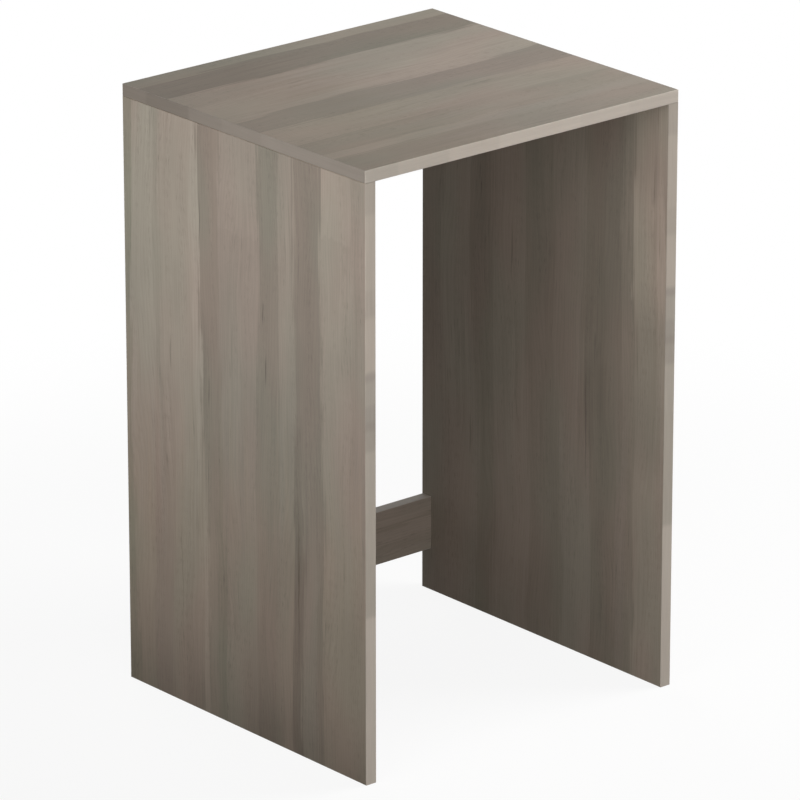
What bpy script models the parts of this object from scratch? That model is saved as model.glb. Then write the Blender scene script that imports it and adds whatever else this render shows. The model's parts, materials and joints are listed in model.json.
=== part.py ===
"""Open cabinet for a washing machine: a top laid on two sides, braced by two rear rails.

Metres, +Z up. The origin is on the floor, in the middle of the footprint, and the open front faces -Y.
The boards butt together. Cam locks pull each joint tight, and dowels keep its boards in line.
"""

import math

import bmesh
import bpy
from mathutils import Matrix, Vector

# Cabinet
CABINET_WIDTH = 0.690
CABINET_DEPTH = 0.635
CABINET_HEIGHT = 1.080
BOARD_THICKNESS = 0.022
BUTT_GAP = 0.0003

# Edging round the boards
EDGING_THICKNESS = 0.001
EDGING_ROUNDING = 0.0006
GLUE_LINE = 0.0001

# Rear rails
UPPER_RAIL_HEIGHT = 0.120
LOWER_RAIL_HEIGHT = 0.100
LOWER_RAIL_LIFT = 0.080
RAIL_INSET = 0.003

# Places of the fasteners
CAM_FROM_JOINT = 0.034
CAM_FROM_FRONT = 0.064
HOLE_PITCH = 0.032
FIT = 0.0003
CUT_OVERRUN = 0.002

# Cam bolt
THREAD_RADIUS = 0.0025
THREAD_ROOT_RADIUS = 0.0019
THREAD_LENGTH = 0.011
THREAD_PITCH = 0.00275
COLLAR_RADIUS = 0.0035
COLLAR_LENGTH = 0.002
SHANK_RADIUS = 0.003
NECK_RADIUS = 0.0018
HEAD_RADIUS = 0.0031
HEAD_LENGTH = 0.0024

# Cam lock
CAM_RADIUS = 0.0072
CAM_WALL = 0.0022
CAM_FLOOR = 0.0012
CAM_RECESS = 0.0005
CAM_TURN = math.pi
DRIVE_SPAN = 0.007
DRIVE_WIDTH = 0.0012
DRIVE_DEPTH = 0.0025
DRIVE_HOLE_RADIUS = 0.0015
DRIVE_HOLE_DEPTH = 0.0035

# Cover cap over a cam lock
CAP_RADIUS = 0.0088
CAP_THICKNESS = 0.0011
CAP_ROUNDING = 0.0004

# Dowel
DOWEL_RADIUS = 0.004
DOWEL_IN_FACE = 0.011
DOWEL_IN_EDGE = 0.024
DOWEL_CHAMFER = 0.0008

# Facets of round shapes
CAM_SIDES = 24
BORE_SIDES = 12
BOLT_SIDES = 10

# Planes and middles that the sizes above set
HALF_WIDTH = CABINET_WIDTH / 2
HALF_DEPTH = CABINET_DEPTH / 2
HALF_BOARD = BOARD_THICKNESS / 2
EDGING_SEAT = EDGING_THICKNESS + GLUE_LINE
TOP_UNDERSIDE = CABINET_HEIGHT - BOARD_THICKNESS
SIDE_TOP = TOP_UNDERSIDE - BUTT_GAP
INNER_FACE = HALF_WIDTH - BOARD_THICKNESS
RAIL_END = INNER_FACE - BUTT_GAP
RAIL_MIDDLE_Y = HALF_DEPTH - RAIL_INSET - HALF_BOARD
UPPER_RAIL_FOOT = SIDE_TOP - UPPER_RAIL_HEIGHT
LOWER_RAIL_TOP = LOWER_RAIL_LIFT + LOWER_RAIL_HEIGHT
BOLT_REACH = CAM_FROM_JOINT + BUTT_GAP
CAVITY_RADIUS = CAM_RADIUS - CAM_WALL
CAVITY_HALF_HEIGHT = HEAD_RADIUS + FIT + FIT
CAM_FACE = HALF_BOARD - CAM_RECESS
CAM_BOTTOM = -CAVITY_HALF_HEIGHT - CAM_FLOOR

LEFT, RIGHT = -1, 1
SIDES = {"left": LEFT, "right": RIGHT}
UP = Vector((0, 0, 1))
REARWARD = Vector((0, 1, 0))
RIGHTWARD = Vector((1, 0, 0))


def empty_the_scene():
    for thing in list(bpy.data.objects):
        bpy.data.objects.remove(thing, do_unlink=True)


def new_collection(name):
    made = bpy.data.collections.new(name)
    bpy.context.scene.collection.children.link(made)
    return made


def new_finish(name, colour, roughness, metallic=0.0):
    """A Principled material; the colour is linear."""
    made = bpy.data.materials.new(name)
    made.use_nodes = True
    shader = made.node_tree.nodes["Principled BSDF"]
    shader.inputs["Base Color"].default_value = (*colour, 1.0)
    shader.inputs["Roughness"].default_value = roughness
    shader.inputs["Metallic"].default_value = metallic
    return made


def frame_at(origin, along, outward):
    """A frame at the origin given, with its X along one direction and its Z outward."""
    across = outward.cross(along)
    turn = Matrix((along, across, outward)).transposed()
    return Matrix.Translation(origin) @ turn.to_4x4()


def add_part(name, mesh, place, material, home):
    """A part of the cabinet, with its mesh at a place given as a matrix."""
    part = bpy.data.objects.new(name, mesh)
    part.matrix_world = place
    if not mesh.materials:
        mesh.materials.append(material)
    home.objects.link(part)
    return part


def mesh_from(shape, name):
    mesh = bpy.data.meshes.new(name)
    shape.to_mesh(mesh)
    shape.free()
    return mesh


def box_shape(size):
    shape = bmesh.new()
    bmesh.ops.create_cube(shape, size=1)
    bmesh.ops.scale(shape, vec=size, verts=shape.verts)
    return shape


def cylinder_shape(radius, low, high, sides):
    """A cylinder about Z, between two heights."""
    shape = bmesh.new()
    bmesh.ops.create_cone(
        shape,
        cap_ends=True,
        segments=sides,
        radius1=radius,
        radius2=radius,
        depth=high - low,
        matrix=Matrix.Translation((0, 0, (low + high) / 2)),
    )
    return shape


def turned_mesh(name, profile, sides):
    """A turned shape about Z. The profile is (radius, height) points from the top down the outside."""
    outline = bmesh.new()
    points = [outline.verts.new((radius, 0, height)) for radius, height in profile]
    for upper, lower in zip(points, points[1:]):
        outline.edges.new((upper, lower))
    blank = bpy.data.objects.new(name, mesh_from(outline, name))
    bpy.context.scene.collection.objects.link(blank)
    lathe = blank.modifiers.new("lathe", "SCREW")
    lathe.steps = lathe.render_steps = sides
    lathe.use_merge_vertices = True
    lathe.merge_threshold = 0.00001
    mesh = finished_mesh(blank, name)
    mesh.shade_smooth()
    mesh.set_sharp_from_angle(angle=math.radians(35))
    return mesh


def finished_mesh(blank, name):
    """The blank's mesh with its modifiers applied. The blank goes."""
    bpy.context.view_layer.update()
    view = bpy.context.evaluated_depsgraph_get()
    mesh = bpy.data.meshes.new_from_object(blank.evaluated_get(view))
    mesh.name = name
    bpy.data.objects.remove(blank, do_unlink=True)
    return mesh


def cut(part, cutter):
    bore = part.modifiers.new(cutter.name, "BOOLEAN")
    bore.operation = "DIFFERENCE"
    bore.solver = "EXACT"
    bore.object = cutter


def add_cutter(name, shape, place, home):
    cutter = bpy.data.objects.new(name, mesh_from(shape, name))
    cutter.matrix_world = place
    cutter.hide_render = True
    cutter.display_type = "WIRE"
    home.objects.link(cutter)
    return cutter


def add_board(name, low, high, material, home):
    """A board between two opposite corners, with its origin at its middle."""
    low, high = Vector(low), Vector(high)
    mesh = mesh_from(box_shape(high - low), name)
    return add_part(name, mesh, Matrix.Translation((low + high) / 2), material, home)


def add_edging(name, low, high, outward, material, home, ends_show=False):
    """A strip between two opposite corners. Its outer long edges are rounded, and its outer ends if they show."""
    low, high = Vector(low), Vector(high)
    size = high - low
    longest = max(range(3), key=lambda axis: size[axis])
    strip = box_shape(size)
    outer_edges = [
        edge
        for edge in strip.edges
        if all(corner.co.dot(outward) > 0 for corner in edge.verts)
        and (ends_show or edge.verts[0].co[longest] * edge.verts[1].co[longest] < 0)
    ]
    bmesh.ops.bevel(strip, geom=outer_edges, offset=EDGING_ROUNDING, segments=2, profile=0.5, affect="EDGES")
    mesh = mesh_from(strip, name)
    return add_part(name, mesh, Matrix.Translation((low + high) / 2), material, home)


def bore_board(board, name, radius, start, direction, depth, cutters, sides=BORE_SIDES):
    """A round bore into a board, from a point on its face."""
    shape = cylinder_shape(radius, -CUT_OVERRUN, depth, sides)
    place = frame_at(start, direction.orthogonal().normalized(), direction)
    cut(board, add_cutter(name, shape, place, cutters))


def make_top(decor, edging, home):
    """The top board, edged all round. Its front and rear edgings cover the ends of the other two."""
    low, high = TOP_UNDERSIDE, CABINET_HEIGHT
    core_x, core_y = HALF_WIDTH - EDGING_SEAT, HALF_DEPTH - EDGING_SEAT
    board = add_board("top_panel", (-core_x, -core_y, low), (core_x, core_y, high), decor, home)
    for name, way in (("front", -1), ("rear", 1)):
        near, far = sorted((way * (HALF_DEPTH - EDGING_THICKNESS), way * HALF_DEPTH))
        add_edging(
            f"top_{name}_edging",
            (-HALF_WIDTH, near, low),
            (HALF_WIDTH, far, high),
            REARWARD * way,
            edging,
            home,
            ends_show=True,
        )
    for name, way in SIDES.items():
        near, far = sorted((way * (HALF_WIDTH - EDGING_THICKNESS), way * HALF_WIDTH))
        add_edging(
            f"top_{name}_edging",
            (near, -core_y, low),
            (far, core_y, high),
            RIGHTWARD * way,
            edging,
            home,
        )
    return board


def make_side(side, way, decor, edging, home):
    """One side board, edged in front, at the rear and under its foot. Its top edge stays bare under the top."""
    inner, outer = sorted((way * INNER_FACE, way * HALF_WIDTH))
    core_y = HALF_DEPTH - EDGING_SEAT
    board = add_board(
        f"{side}_side_panel", (inner, -core_y, EDGING_SEAT), (outer, core_y, SIDE_TOP), decor, home
    )
    for name, end in (("front", -1), ("rear", 1)):
        near, far = sorted((end * (HALF_DEPTH - EDGING_THICKNESS), end * HALF_DEPTH))
        add_edging(
            f"{side}_side_{name}_edging",
            (inner, near, 0),
            (outer, far, SIDE_TOP),
            REARWARD * end,
            edging,
            home,
        )
    add_edging(
        f"{side}_side_foot_edging",
        (inner, -core_y, 0),
        (outer, core_y, EDGING_THICKNESS),
        -UP,
        edging,
        home,
    )
    return board


def make_rail(name, foot, head, edged_above, decor, edging, home):
    """A rail between the sides. Its foot is edged, and its head too where it shows."""
    front, rear = RAIL_MIDDLE_Y - HALF_BOARD, RAIL_MIDDLE_Y + HALF_BOARD
    core_head = head - EDGING_SEAT if edged_above else head
    board = add_board(
        name, (-RAIL_END, front, foot + EDGING_SEAT), (RAIL_END, rear, core_head), decor, home
    )
    add_edging(
        f"{name}_foot_edging",
        (-RAIL_END, front, foot),
        (RAIL_END, rear, foot + EDGING_THICKNESS),
        -UP,
        edging,
        home,
    )
    if edged_above:
        add_edging(
            f"{name}_head_edging",
            (-RAIL_END, front, head - EDGING_THICKNESS),
            (RAIL_END, rear, head),
            UP,
            edging,
            home,
        )
    return board


def cam_lock_mesh():
    """A cam lock about Z at its bolt's height, locked on a bolt that comes in from +X."""
    blank = bpy.data.objects.new(
        "cam_lock_blank", mesh_from(cylinder_shape(CAM_RADIUS, CAM_BOTTOM, CAM_FACE, CAM_SIDES), "cam_lock")
    )
    tools = new_collection("cam_lock_tools")
    tools.objects.link(blank)
    level = Matrix.Identity(4)
    beyond = CAM_RADIUS + CUT_OVERRUN
    head_room = cylinder_shape(CAVITY_RADIUS, -CAVITY_HALF_HEIGHT, CAVITY_HALF_HEIGHT, CAM_SIDES)
    cut(blank, add_cutter("head_room", head_room, level, tools))
    cut(blank, add_cutter("neck_slot", neck_slot_shape(beyond), level, tools))
    way_in = cylinder_shape(HEAD_RADIUS + FIT, 0, beyond, BORE_SIDES)
    way_in_place = frame_at(Vector(), UP, Vector((math.cos(CAM_TURN), -math.sin(CAM_TURN), 0)))
    cut(blank, add_cutter("head_way_in", way_in, way_in_place, tools))
    cross_depth = DRIVE_DEPTH + CUT_OVERRUN
    cross_place = Matrix.Translation((0, 0, CAM_FACE - DRIVE_DEPTH + cross_depth / 2))
    for name, size in (
        ("drive_cross_x", (DRIVE_SPAN, DRIVE_WIDTH, cross_depth)),
        ("drive_cross_y", (DRIVE_WIDTH, DRIVE_SPAN, cross_depth)),
    ):
        cut(blank, add_cutter(name, box_shape(size), cross_place, tools))
    drive_hole = cylinder_shape(
        DRIVE_HOLE_RADIUS, CAM_FACE - DRIVE_HOLE_DEPTH, CAM_FACE + CUT_OVERRUN, BORE_SIDES
    )
    cut(blank, add_cutter("drive_hole", drive_hole, level, tools))
    mesh = finished_mesh(blank, "cam_lock")
    for tool in list(tools.objects):
        bpy.data.objects.remove(tool, do_unlink=True)
    bpy.data.collections.remove(tools)
    return mesh


def neck_slot_shape(reach):
    """The slice through the cam's wall that the bolt's neck passes along as the cam turns back to its way in."""
    end_room = math.asin(HEAD_RADIUS / CAVITY_RADIUS)
    first, last = -CAM_TURN - end_room, end_room
    half_height = NECK_RADIUS + FIT
    shape = bmesh.new()
    rim = [
        shape.verts.new((reach * math.cos(angle), reach * math.sin(angle), -half_height))
        for angle in (first + (last - first) * step / CAM_SIDES for step in range(CAM_SIDES + 1))
    ]
    outline = shape.faces.new([shape.verts.new((0, 0, -half_height)), *rim])
    raised = bmesh.ops.extrude_face_region(shape, geom=[outline])["geom"]
    raised_points = [item for item in raised if isinstance(item, bmesh.types.BMVert)]
    bmesh.ops.translate(shape, vec=(0, 0, 2 * half_height), verts=raised_points)
    bmesh.ops.recalc_face_normals(shape, faces=shape.faces)
    return shape


def cam_bolt_mesh():
    """A cam bolt about Z: threaded above the joint at zero, with its head below, inside the cam lock."""
    shoulder = math.sqrt((CAVITY_RADIUS - FIT) ** 2 - HEAD_RADIUS**2) - BOLT_REACH
    cone_top = CAVITY_RADIUS - FIT - BOLT_REACH
    shank_foot = CAM_RADIUS + FIT - BOLT_REACH
    crests = int(THREAD_LENGTH / THREAD_PITCH)
    thread = []
    for crest in range(crests):
        thread.append((THREAD_ROOT_RADIUS, THREAD_LENGTH - crest * THREAD_PITCH))
        thread.append((THREAD_RADIUS, THREAD_LENGTH - (crest + 0.5) * THREAD_PITCH))
    profile = [
        (0, THREAD_LENGTH),
        *thread,
        (THREAD_ROOT_RADIUS, THREAD_LENGTH - crests * THREAD_PITCH),
        (THREAD_ROOT_RADIUS, -FIT),
        (COLLAR_RADIUS, -FIT),
        (COLLAR_RADIUS, -FIT - COLLAR_LENGTH),
        (SHANK_RADIUS, -FIT - COLLAR_LENGTH),
        (SHANK_RADIUS, shank_foot),
        (NECK_RADIUS, shank_foot),
        (NECK_RADIUS, cone_top),
        (HEAD_RADIUS, shoulder),
        (HEAD_RADIUS, shoulder - HEAD_LENGTH),
        (0, shoulder - HEAD_LENGTH),
    ]
    return turned_mesh("cam_bolt", profile, BOLT_SIDES)


def cover_cap_mesh():
    """A cap about Z that covers a cam lock, held by a pin in the lock's drive hole."""
    under = HALF_BOARD + FIT
    crown = under + CAP_THICKNESS
    pin_radius = DRIVE_HOLE_RADIUS - FIT
    pin_foot = CAM_FACE - DRIVE_HOLE_DEPTH + FIT
    profile = [
        (0, crown),
        (CAP_RADIUS - CAP_ROUNDING, crown),
        (CAP_RADIUS, crown - CAP_ROUNDING),
        (CAP_RADIUS, under),
        (pin_radius, under),
        (pin_radius, pin_foot),
        (0, pin_foot),
    ]
    return turned_mesh("cover_cap", profile, CAM_SIDES)


def dowel_mesh():
    """A dowel about Z, with the joint at zero and its shorter end above it."""
    top, foot = DOWEL_IN_FACE, -DOWEL_IN_EDGE
    profile = [
        (0, top),
        (DOWEL_RADIUS - DOWEL_CHAMFER, top),
        (DOWEL_RADIUS, top - DOWEL_CHAMFER),
        (DOWEL_RADIUS, foot + DOWEL_CHAMFER),
        (DOWEL_RADIUS - DOWEL_CHAMFER, foot),
        (0, foot),
    ]
    return turned_mesh("dowel", profile, BORE_SIDES)


class Workshop:
    """What every joint is made with: the shared fastener meshes, the finishes and the two collections."""

    def __init__(self, home, cutters):
        self.home = home
        self.cutters = cutters
        self.decor = new_finish("oak_decor", (0.300, 0.262, 0.223), 0.55)
        self.edging = new_finish("oak_edging", (0.365, 0.323, 0.279), 0.50)
        self.zinc = new_finish("cast_zinc", (0.52, 0.52, 0.53), 0.42, 1.0)
        self.steel = new_finish("plated_steel", (0.62, 0.62, 0.60), 0.30, 1.0)
        self.beech = new_finish("beech", (0.56, 0.40, 0.25), 0.70)
        self.cap_plastic = new_finish("cap_plastic", (0.290, 0.252, 0.212), 0.50)
        self.cam_lock = cam_lock_mesh()
        self.cam_bolt = cam_bolt_mesh()
        self.cover_cap = cover_cap_mesh()
        self.dowel = dowel_mesh()

    def join_with_cam(self, name, edge_board, face_board, joint, along, outward, capped):
        """A cam lock in the edge board pulls on a bolt that is screwed into the face board.

        The joint is a point on the face board, and along points from the edge board into it. Outward
        points out of the face that the lock is let into.
        """
        centre = joint - along * BOLT_REACH
        cam_place = frame_at(centre, along, outward)
        bore_board(
            edge_board,
            f"{name}_cam_bore",
            CAM_RADIUS + FIT,
            centre + outward * HALF_BOARD,
            -outward,
            HALF_BOARD - CAM_BOTTOM + FIT,
            self.cutters,
            CAM_SIDES,
        )
        bore_board(
            edge_board,
            f"{name}_shank_bore",
            COLLAR_RADIUS + FIT,
            joint - along * BUTT_GAP,
            -along,
            CAM_FROM_JOINT,
            self.cutters,
        )
        bore_board(
            face_board,
            f"{name}_thread_bore",
            THREAD_RADIUS + FIT,
            joint,
            along,
            THREAD_LENGTH + FIT,
            self.cutters,
        )
        add_part(f"{name}_cam_lock", self.cam_lock, cam_place, self.zinc, self.home)
        add_part(f"{name}_cam_bolt", self.cam_bolt, frame_at(joint, outward, along), self.steel, self.home)
        if capped:
            add_part(f"{name}_cover_cap", self.cover_cap, cam_place, self.cap_plastic, self.home)

    def join_with_dowel(self, name, edge_board, face_board, joint, along):
        """A dowel across a joint, deeper in the edge board than in the face board."""
        radius = DOWEL_RADIUS + FIT
        edge = joint - along * BUTT_GAP
        edge_depth = DOWEL_IN_EDGE - BUTT_GAP + FIT
        bore_board(edge_board, f"{name}_edge_bore", radius, edge, -along, edge_depth, self.cutters)
        face_depth = DOWEL_IN_FACE + FIT
        bore_board(face_board, f"{name}_face_bore", radius, joint, along, face_depth, self.cutters)
        place = frame_at(joint, along.orthogonal().normalized(), along)
        add_part(name, self.dowel, place, self.beech, self.home)


def join_top_to_side(shop, top, side_board, side, way):
    """Two capped cam locks near the corners of the joint, with three dowels between them."""
    middle_x = way * (HALF_WIDTH - HALF_BOARD)
    cam_y = HALF_DEPTH - CAM_FROM_FRONT
    for name, y in (("front", -cam_y), ("rear", cam_y)):
        joint = Vector((middle_x, y, TOP_UNDERSIDE))
        shop.join_with_cam(f"{side}_{name}", side_board, top, joint, UP, RIGHTWARD * -way, capped=True)
    dowel_y = cam_y - HOLE_PITCH
    for name, y in (("front", -dowel_y), ("middle", 0), ("rear", dowel_y)):
        joint = Vector((middle_x, y, TOP_UNDERSIDE))
        shop.join_with_dowel(f"{side}_{name}_dowel", side_board, top, joint, UP)


def join_rail_to_side(shop, rail, side_board, name, middle_z, way):
    """A cam lock in the rail's rear face, with a dowel above it."""
    low, high = middle_z - HOLE_PITCH / 2, middle_z + HOLE_PITCH / 2
    along = RIGHTWARD * way
    joint = Vector((way * INNER_FACE, RAIL_MIDDLE_Y, low))
    shop.join_with_cam(name, rail, side_board, joint, along, REARWARD, capped=False)
    joint = Vector((way * INNER_FACE, RAIL_MIDDLE_Y, high))
    shop.join_with_dowel(f"{name}_dowel", rail, side_board, joint, along)


def main():
    empty_the_scene()
    shop = Workshop(new_collection("washing_machine_cabinet"), new_collection("cutters"))
    finishes = (shop.decor, shop.edging, shop.home)
    top = make_top(*finishes)
    sides = {side: make_side(side, way, *finishes) for side, way in SIDES.items()}
    rails = {
        "upper_rail": (UPPER_RAIL_FOOT, SIDE_TOP, False),
        "lower_rail": (LOWER_RAIL_LIFT, LOWER_RAIL_TOP, True),
    }
    for side, way in SIDES.items():
        join_top_to_side(shop, top, sides[side], side, way)
    for name, (foot, head, edged_above) in rails.items():
        rail = make_rail(name, foot, head, edged_above, *finishes)
        for side, way in SIDES.items():
            join_rail_to_side(shop, rail, sides[side], f"{name}_{side}", (foot + head) / 2, way)


main()
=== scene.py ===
"""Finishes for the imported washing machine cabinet, and a studio to picture it in.

Metres, +Z up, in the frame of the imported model, whose open front faces -Y. Shader colours are linear.
"""

import json
import math

import bmesh
import bpy
from mathutils import Matrix, Vector

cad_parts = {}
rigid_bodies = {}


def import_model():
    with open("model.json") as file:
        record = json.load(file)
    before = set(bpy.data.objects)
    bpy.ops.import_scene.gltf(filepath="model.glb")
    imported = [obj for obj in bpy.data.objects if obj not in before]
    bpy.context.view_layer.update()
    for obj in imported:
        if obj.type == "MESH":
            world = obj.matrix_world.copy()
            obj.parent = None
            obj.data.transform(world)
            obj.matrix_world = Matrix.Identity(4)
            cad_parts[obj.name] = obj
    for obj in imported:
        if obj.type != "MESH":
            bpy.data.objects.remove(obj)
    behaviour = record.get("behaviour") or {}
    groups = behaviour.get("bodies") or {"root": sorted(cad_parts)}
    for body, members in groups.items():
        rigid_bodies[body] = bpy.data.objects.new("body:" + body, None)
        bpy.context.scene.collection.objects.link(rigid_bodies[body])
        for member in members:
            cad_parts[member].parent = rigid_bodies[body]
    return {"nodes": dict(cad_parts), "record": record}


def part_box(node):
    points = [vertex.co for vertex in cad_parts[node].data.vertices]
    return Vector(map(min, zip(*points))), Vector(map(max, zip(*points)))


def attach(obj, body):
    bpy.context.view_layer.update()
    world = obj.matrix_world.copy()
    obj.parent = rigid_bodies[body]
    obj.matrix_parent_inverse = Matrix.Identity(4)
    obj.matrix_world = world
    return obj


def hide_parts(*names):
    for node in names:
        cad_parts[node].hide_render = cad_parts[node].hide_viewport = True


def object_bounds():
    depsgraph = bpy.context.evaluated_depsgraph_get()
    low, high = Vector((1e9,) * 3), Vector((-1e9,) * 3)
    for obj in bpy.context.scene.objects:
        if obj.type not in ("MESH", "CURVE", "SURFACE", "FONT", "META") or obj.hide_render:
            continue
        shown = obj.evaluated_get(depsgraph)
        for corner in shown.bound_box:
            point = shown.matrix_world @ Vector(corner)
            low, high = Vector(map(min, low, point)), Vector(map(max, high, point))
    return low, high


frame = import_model()
CAD_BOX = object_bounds()
NODES = frame["nodes"]

bl_info = {
    "name": "Washing Machine Cabinet Finishes",
    "version": (1, 0, 0),
    "blender": (4, 5, 0),
    "location": "View3D > Sidebar > Cabinet",
    "description": "Oak decor, edging and fastener finishes for a washing machine cabinet, with a studio",
    "category": "Material",
}

X, Y, Z = range(3)

# A cam lock about Z, at the height of its bolt, which comes in from +X
CAM_RADIUS, CAM_FACE, CAM_BOTTOM = 0.0072, 0.0105, -0.0049
CAVITY_RADIUS, CAVITY_HALF_HEIGHT = 0.0050, 0.0037
WAY_IN_RADIUS, SLOT_HALF_HEIGHT, SLOT_END_ROOM = 0.0034, 0.0021, 0.669
DRIVE_SPAN, DRIVE_WIDTH, DRIVE_DEPTH, DRIVE_TAPER = 0.0070, 0.0013, 0.0025, 0.80
DRIVE_HOLE_RADIUS, DRIVE_HOLE_DEPTH = 0.0015, 0.0035
ARROW = ((-0.0065, 0.0), (-0.0045, -0.0012), (-0.0045, 0.0012))
ARROW_DEPTH = 0.0005

# A cam bolt about Z, with the joint at zero, its thread above and its head below
BOLT_REACH = 0.0343
THREAD_RADIUS, THREAD_ROOT, THREAD_LENGTH = 0.0025, 0.0019, 0.0110
THREAD_FOOT, THREAD_HEAD, TIP_RADIUS, RUN_OUT = 0.0004, 0.0103, 0.0010, 0.0016
THREAD_TOOTH = ((0.0, 0.0), (0.38, 0.0), (0.64, 1.0), (0.70, 1.0))
BOLT_PROFILE = (
    (THREAD_ROOT, THREAD_FOOT), (THREAD_ROOT, -0.0003), (0.0035, -0.0003), (0.0035, -0.0023),
    (0.0030, -0.0023), (0.0030, -0.0268), (0.0018, -0.0268), (0.0018, -0.0296), (0.0031, -0.03077),
    (0.0031, -0.03317), (0.0, -0.03317),
)

# A cover cap about Z over its cam lock, and a dowel about its own middle
CAP_RADIUS, CAP_CROWN, CAP_UNDER, CAP_RIM = 0.0088, 0.0124, 0.0113, 0.0004
CAP_PIN_RADIUS, CAP_PIN_FOOT = 0.0012, 0.0073
CAP_DOME_SHARES, CAP_RIM_STEPS = (0, 0.25, 0.5, 0.75), 4
DOWEL_RADIUS, DOWEL_HALF_LENGTH, DOWEL_CHAMFER = 0.0040, 0.0175, 0.0008
FLUTE_STEPS = (0.0, 0.5, 1.0, 0.5)

ROUND_SIDES, BOLT_SIDES = 72, 32
CUT_OVERRUN = 1.2
MERGE_DISTANCE = 0.000001
SHARP_ANGLE = math.radians(35)
FLOOR_GAP, FLOOR_REACH = 0.0003, 30
FLOOR_ROUGHNESS, FLOOR_SHEEN = 0.9, 0.1
VIEW_REACH = 100

# The oak print's layers of noise: cycles a metre across and along the grain, finer detail, and its roughness
GRAIN = {
    "wander": (5, 1.8, 2, 0.5), "ripple": (30, 12, 2, 0.5), "feather": (190, 4, 2, 0.5),
    "streaks": (110, 3, 2, 0.5), "clouds": (13, 5, 3, 0.6), "fibres": (620, 15, 2, 0.6),
    "sweep": (11, 1.7, 2, 0.5), "pores": (1500, 52, 1, 0.5), "pore rows": (55, 2.4, 2, 0.5),
    "flecks": (200, 13, 1, 0.5), "drift": (10, 3, 1, 0.5), "ragged": (75, 2, 2, 0.5),
    "lively": (18, 3, 1, 0.5),
}
# The levels of its noise between which a layer fades in
FADES = {
    "lively": (-0.08, 0.16), "flecks": (0.12, 0.22), "pores": (0.09, 0.17), "pore rows": (-0.10, 0.12),
    "drift": (-0.16, 0.16),
}
# Where in a growth ring its late wood comes up, and where it ends
LATE_WOOD_RISE, LATE_WOOD_FALL = (0.35, 0.92), (0.93, 1.0)
RIPPLE_SHARE, CRACK_RIPPLE, CALM_STREAKS, RING_SWEEP = 0.2, 0.8, 0.35, 0.07
FIBRE_RELIEF, LATE_WOOD_RELIEF, CRACK_RELIEF = 0.35, 0.12, 1.5
# How far the grain carries a stave's change up and down, and how softly staves and painted shades begin and
# end
RAGGED_CHANGE, RAGGED_JOINT = 0.45, 0.03
JOINT_BEGIN, JOINT_END, SHADE_EDGE, SHADE_FOOT, CRACK_CORE = 0.004, 0.010, 0.02, -0.05, 0.2
# Tones are halved in a ramp, whose colours end at 1. Warmth and greenness tint red, green and blue.
TONE_HEADROOM = 2.0
WARMTH_TINT, GREEN_TINT = (0.030, 0.0, -0.040), (-0.035, 0.0, -0.030)
STAVE_EDGE_SHARE = 0.004

# The other finishes' noises, in cycles a metre along X, Y and Z
CHIPS, CHIP_GRIT = (480, 480, 480), (900, 900, 900)
FOOT_FIBRES, CAP_GRAIN = (90, 90, 700), (2600, 2600, 2600)
ZINC_MOTTLE, ZINC_FLOW, ZINC_SPECK = (420, 420, 420), (1500, 1500, 300), (3200, 3200, 3200)
STEEL_HAZE, STEEL_TURNING = (260, 260, 260), (300, 300, 6000)
BEECH_GRAIN, BEECH_FLECKS = (900, 900, 60), (2600, 2600, 420)
ZINC_RELIEF, STEEL_RELIEF, BEECH_RELIEF = 0.00003, 0.00002, 0.00006
# The edging's, across and along it
EDGE_SLANT, EDGE_FIBRES, EDGE_STREAKS = (60, 8), (700, 22), (160, 7)
SLANT_REACH = 0.006

# The oak figure's staves, from the rear or across a rail: (share where one begins, tone, warmth, greenness).
# Tone 1 is the decor's own colour.
LEFT_SIDE_HEAD = (
    (0.000, 1.00, -0.2, 1.4), (0.036, 1.23, -0.4, 0.2), (0.134, 1.11, -0.4, 0.4), (0.156, 1.17, -0.2, 0.0),
    (0.290, 1.26, -0.4, 0.0), (0.316, 0.89, 0.0, 0.0), (0.404, 0.98, -0.4, 0.0), (0.552, 0.85, -0.4, 0.6),
    (0.640, 0.99, -0.5, 0.4), (0.712, 0.80, -0.2, 0.2), (0.824, 1.06, -0.2, 0.0), (0.938, 0.99, -0.1, -0.2),
)
LEFT_SIDE_FOOT = (
    (0.000, 1.06, 0.6, 1.0), (0.038, 1.18, 0.8, 0.2), (0.110, 1.09, 0.7, -0.6), (0.196, 1.20, 0.7, 0.0),
    (0.250, 1.12, 0.6, 0.0), (0.328, 1.27, 0.4, 0.2), (0.346, 1.02, 0.5, 0.3), (0.388, 0.94, 0.4, 0.9),
    (0.424, 1.06, 0.4, 0.3), (0.556, 0.95, 0.8, -0.4), (0.644, 1.02, 0.6, 0.2), (0.708, 0.78, 0.6, 0.2),
    (0.742, 1.01, 0.2, 0.2), (0.802, 0.90, 0.7, 0.0), (0.830, 1.12, 0.9, 0.0),
)
TOP_LEFT = (
    (0.000, 0.79, 0.7, 1.2), (0.058, 0.60, 1.2, 0.8), (0.192, 0.94, 0.9, 0.0), (0.300, 1.00, 0.9, 0.0),
    (0.465, 0.80, 0.8, 0.0), (0.580, 1.01, 1.0, 0.0), (0.705, 0.87, 0.9, 0.2), (0.830, 1.01, 0.6, 0.5),
    (0.884, 0.82, 0.7, 0.6),
)
TOP_RIGHT = (
    (0.000, 1.12, -0.3, 1.2), (0.062, 0.80, 0.1, 0.8), (0.192, 1.20, -0.2, 0.0), (0.320, 1.24, -0.2, 0.0),
    (0.458, 0.91, -0.2, 0.0), (0.584, 1.06, 0.1, 0.0), (0.710, 0.98, 0.0, 0.2), (0.846, 1.03, -0.4, 0.2),
    (0.900, 0.95, -0.2, 0.2),
)
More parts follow.
